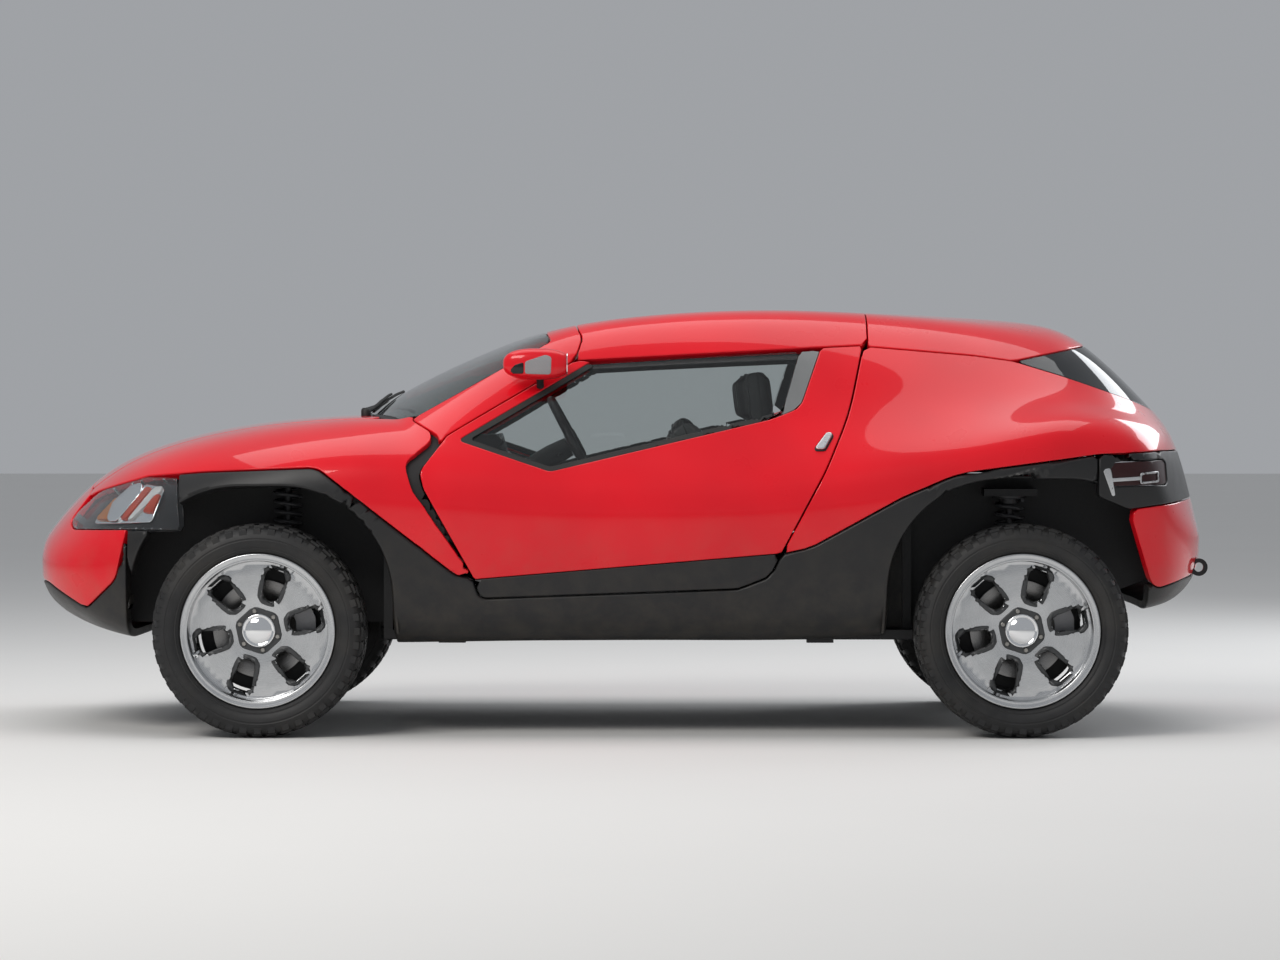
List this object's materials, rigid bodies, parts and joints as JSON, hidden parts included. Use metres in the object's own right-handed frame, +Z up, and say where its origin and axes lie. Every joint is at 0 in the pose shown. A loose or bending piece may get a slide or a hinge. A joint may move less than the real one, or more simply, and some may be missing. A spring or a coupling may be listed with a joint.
{
  "type": "two-seat off-road concept car",
  "caption": "Two-seat off-road concept coupe with a smooth red shell, black cladding, large wheels, steered front axle, swing-up doors and an opening bonnet.",
  "frame": {"origin": "on the ground, midway along and across the car", "axes": "+Z up, nose towards -X, the car's left side towards -Y"},
  "size_m": [4.032, 1.855, 1.4388],
  "materials": {
    "red_paint": "gloss clear coat",
    "black_cladding": "satin",
    "black_structure": "satin",
    "tinted_glass": "polished",
    "clear_glass": "polished",
    "red_lens": "polished",
    "satin_silver": "satin",
    "dark_metal": "matt",
    "steel": "brushed",
    "seat_leather": "grained",
    "tyre_rubber": "matt"
  },
  "bodies": {
    "body": {"tub": "black_structure", "cladding": "black_cladding", "wings": "red_paint", "cowl": "black_cladding", "nose_cone": "red_paint", "front_apron": "black_cladding", "grille": "black_cladding", "headlamp_units": "satin_silver", "headlamp_lenses": "clear_glass", "windscreen_frame": "red_paint", "windscreen": "tinted_glass", "roof_panels": "red_paint", "t_bar": "red_paint", "rear_roof": "red_paint", "rear_body": "red_paint", "rear_window": "tinted_glass", "tail_panel": "black_cladding", "tail_lamps": "red_lens", "rear_bumper": "red_paint", "rear_apron": "black_cladding", "tow_eye": "steel", "dashboard": "black_cladding", "steering_wheel": "black_cladding", "seats": "seat_leather", "engine": "dark_metal", "exhaust": "steel", "front_arms": "dark_metal", "front_struts": "dark_metal", "rear_arms": "dark_metal", "rear_struts": "dark_metal"},
    "bonnet": {"bonnet": "red_paint"},
    "door_left": {"door_left": "red_paint", "door_left_glass": "tinted_glass", "door_left_trim": "satin_silver", "mirror_left": "red_paint"},
    "door_right": {"door_right": "red_paint", "door_right_glass": "tinted_glass", "door_right_trim": "satin_silver", "mirror_right": "red_paint"},
    "knuckle_left": {"knuckle_left": "dark_metal"},
    "knuckle_right": {"knuckle_right": "dark_metal"},
    "wheel_front_left": {"rim_front_left": "satin_silver", "tyre_front_left": "tyre_rubber"},
    "wheel_front_right": {"rim_front_right": "satin_silver", "tyre_front_right": "tyre_rubber"},
    "wheel_rear_left": {"rim_rear_left": "satin_silver", "tyre_rear_left": "tyre_rubber"},
    "wheel_rear_right": {"rim_rear_right": "satin_silver", "tyre_rear_right": "tyre_rubber"}
  },
  "joints": [
    {"name": "steer_left", "type": "hinge", "parent": "body", "child": "knuckle_left", "pos_m": [-1.195, -0.7, 0.356], "axis": [0, 0, 1], "range_deg": [-30, 30]},
    {"name": "steer_right", "type": "hinge", "parent": "body", "child": "knuckle_right", "pos_m": [-1.195, 0.7, 0.356], "axis": [0, 0, 1], "range_deg": [-30, 30]},
    {"name": "spin_front_left", "type": "hinge", "parent": "knuckle_left", "child": "wheel_front_left", "pos_m": [-1.195, -0.8, 0.356], "axis": [0, 1, 0], "continuous": true},
    {"name": "spin_front_right", "type": "hinge", "parent": "knuckle_right", "child": "wheel_front_right", "pos_m": [-1.195, 0.8, 0.356], "axis": [0, 1, 0], "continuous": true},
    {"name": "spin_rear_left", "type": "hinge", "parent": "body", "child": "wheel_rear_left", "pos_m": [1.344, -0.8, 0.356], "axis": [0, 1, 0], "continuous": true},
    {"name": "spin_rear_right", "type": "hinge", "parent": "body", "child": "wheel_rear_right", "pos_m": [1.344, 0.8, 0.356], "axis": [0, 1, 0], "continuous": true},
    {"name": "door_left_swing", "type": "hinge", "parent": "body", "child": "door_left", "pos_m": [-0.65, -0.898, 0.885], "axis": [0, -0.3875, -0.9219], "range_deg": [0, 60]},
    {"name": "door_right_swing", "type": "hinge", "parent": "body", "child": "door_right", "pos_m": [-0.65, 0.898, 0.885], "axis": [0, -0.3875, 0.9219], "range_deg": [0, 60]},
    {"name": "bonnet_lift", "type": "hinge", "parent": "body", "child": "bonnet", "pos_m": [-0.786, 0, 1.066], "axis": [0, 1, 0], "range_deg": [0, 50]}
  ],
  "couplings": [
    {"joint": "steer_right", "follows": "steer_left", "ratio": 1}
  ]
}
